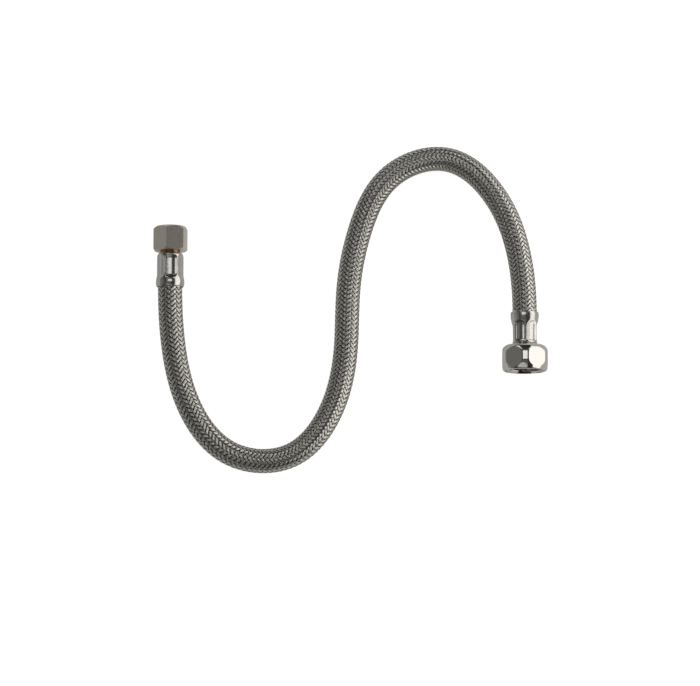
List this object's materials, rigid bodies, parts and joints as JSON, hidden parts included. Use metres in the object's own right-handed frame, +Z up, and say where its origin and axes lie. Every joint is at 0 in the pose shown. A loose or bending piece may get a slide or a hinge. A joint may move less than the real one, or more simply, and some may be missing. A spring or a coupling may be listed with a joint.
{
  "type": "braided supply line",
  "caption": "Flexible stainless-braided hose lying in an S, with a hexagon compression nut at one end and a larger round-shouldered pipe-thread nut at the other.",
  "frame": {"origin": "centre of the bounding box in plan, on the surface the hose lies on", "axes": "+Z up from the surface, +X from the inlet leg to the outlet leg, +Y the way the inlet nut opens; the outlet nut opens towards -Y"},
  "size_m": [0.2228, 0.1874, 0.0276],
  "materials": {
    "braid": "woven stainless wire, bright",
    "inner_tube": "matt black rubber",
    "ferrule": "pressed stainless, polished",
    "inlet_nut": "satin nickel plate on brass",
    "outlet_nut": "polished nickel plate on brass",
    "nipple": "machined brass",
    "gasket": "moulded rubber"
  },
  "bodies": {
    "inlet_end": {"braid_01": "braid", "inner_tube_01": "inner_tube", "inlet_ferrule": "ferrule", "inlet_nipple": "nipple", "inlet_gasket": "gasket"},
    "hose_02": {"braid_02": "braid", "inner_tube_02": "inner_tube"},
    "hose_03": {"braid_03": "braid", "inner_tube_03": "inner_tube"},
    "hose_04": {"braid_04": "braid", "inner_tube_04": "inner_tube"},
    "hose_05": {"braid_05": "braid", "inner_tube_05": "inner_tube"},
    "hose_06": {"braid_06": "braid", "inner_tube_06": "inner_tube"},
    "hose_07": {"braid_07": "braid", "inner_tube_07": "inner_tube"},
    "hose_08": {"braid_08": "braid", "inner_tube_08": "inner_tube"},
    "hose_09": {"braid_09": "braid", "inner_tube_09": "inner_tube"},
    "hose_10": {"braid_10": "braid", "inner_tube_10": "inner_tube"},
    "hose_11": {"braid_11": "braid", "inner_tube_11": "inner_tube"},
    "hose_12": {"braid_12": "braid", "inner_tube_12": "inner_tube"},
    "outlet_end": {"braid_13": "braid", "inner_tube_13": "inner_tube", "outlet_ferrule": "ferrule", "outlet_nipple": "nipple", "outlet_gasket": "gasket"},
    "inlet_nut": {"inlet_nut": "inlet_nut"},
    "outlet_nut": {"outlet_nut": "outlet_nut"}
  },
  "joints": [
    {"name": "inlet_bend_1", "type": "hinge", "parent": "hose_07", "child": "hose_06", "pos_m": [-0.00246, -0.0234, 0.00705], "axis": [0, 0, 1], "range_deg": [-10, 15], "stiffness_Nm_per_rad": 0.3},
    {"name": "inlet_lift_1", "type": "hinge", "parent": "hose_06", "child": "hose_05", "pos_m": [-0.01057, -0.05748, 0.00705], "axis": [-0.9146, 0.4044, 0], "range_deg": [0, 15], "stiffness_Nm_per_rad": 0.3},
    {"name": "inlet_bend_2", "type": "hinge", "parent": "hose_05", "child": "hose_04", "pos_m": [-0.03328, -0.08341, 0.00705], "axis": [0, 0, 1], "range_deg": [-10, 15], "stiffness_Nm_per_rad": 0.3},
    {"name": "inlet_bend_3", "type": "hinge", "parent": "hose_04", "child": "hose_03", "pos_m": [-0.06731, -0.08243, 0.00731], "axis": [0, 0, 1], "range_deg": [-10, 15], "stiffness_Nm_per_rad": 0.3},
    {"name": "inlet_lift_2", "type": "hinge", "parent": "hose_03", "child": "hose_02", "pos_m": [-0.09026, -0.05667, 0.00853], "axis": [0.9076, 0.4197, 0], "range_deg": [0, 15], "stiffness_Nm_per_rad": 0.3},
    {"name": "inlet_bend_4", "type": "hinge", "parent": "hose_02", "child": "inlet_end", "pos_m": [-0.09963, -0.02289, 0.00954], "axis": [0, 0, 1], "range_deg": [-10, 15], "stiffness_Nm_per_rad": 0.3},
    {"name": "outlet_bend_1", "type": "hinge", "parent": "hose_07", "child": "hose_08", "pos_m": [-0.00085, 0.01175, 0.00705], "axis": [0, 0, 1], "range_deg": [-10, 15], "stiffness_Nm_per_rad": 0.3},
    {"name": "outlet_lift_1", "type": "hinge", "parent": "hose_08", "child": "hose_09", "pos_m": [0.00598, 0.0462, 0.00705], "axis": [0.9512, -0.3086, 0], "range_deg": [0, 15], "stiffness_Nm_per_rad": 0.3},
    {"name": "outlet_bend_2", "type": "hinge", "parent": "hose_09", "child": "hose_10", "pos_m": [0.02332, 0.07642, 0.00705], "axis": [0, 0, 1], "range_deg": [-10, 15], "stiffness_Nm_per_rad": 0.3},
    {"name": "outlet_bend_3", "type": "hinge", "parent": "hose_10", "child": "hose_11", "pos_m": [0.05574, 0.08599, 0.00717], "axis": [0, 0, 1], "range_deg": [-10, 15], "stiffness_Nm_per_rad": 0.3},
    {"name": "outlet_lift_2", "type": "hinge", "parent": "hose_11", "child": "hose_12", "pos_m": [0.08239, 0.06456, 0.00999], "axis": [-0.8445, -0.5355, 0], "range_deg": [0, 15], "stiffness_Nm_per_rad": 0.3},
    {"name": "outlet_bend_4", "type": "hinge", "parent": "hose_12", "child": "outlet_end", "pos_m": [0.09531, 0.03212, 0.01282], "axis": [0, 0, 1], "range_deg": [-10, 15], "stiffness_Nm_per_rad": 0.3},
    {"name": "inlet_nut_spin", "type": "hinge", "parent": "inlet_end", "child": "inlet_nut", "pos_m": [-0.1019, 0.0469, 0.0099], "axis": [0, 1, 0], "continuous": true},
    {"name": "outlet_nut_spin", "type": "hinge", "parent": "outlet_end", "child": "outlet_nut", "pos_m": [0.0987, -0.0364, 0.0138], "axis": [0, -1, 0], "continuous": true}
  ],
  "couplings": [
    {"joint": "inlet_bend_2", "follows": "inlet_bend_1", "ratio": 1},
    {"joint": "inlet_bend_3", "follows": "inlet_bend_1", "ratio": 1},
    {"joint": "inlet_lift_2", "follows": "inlet_lift_1", "ratio": 1},
    {"joint": "inlet_bend_4", "follows": "inlet_bend_1", "ratio": 1},
    {"joint": "outlet_bend_2", "follows": "outlet_bend_1", "ratio": 1},
    {"joint": "outlet_bend_3", "follows": "outlet_bend_1", "ratio": 1},
    {"joint": "outlet_lift_2", "follows": "outlet_lift_1", "ratio": 1},
    {"joint": "outlet_bend_4", "follows": "outlet_bend_1", "ratio": 1}
  ]
}
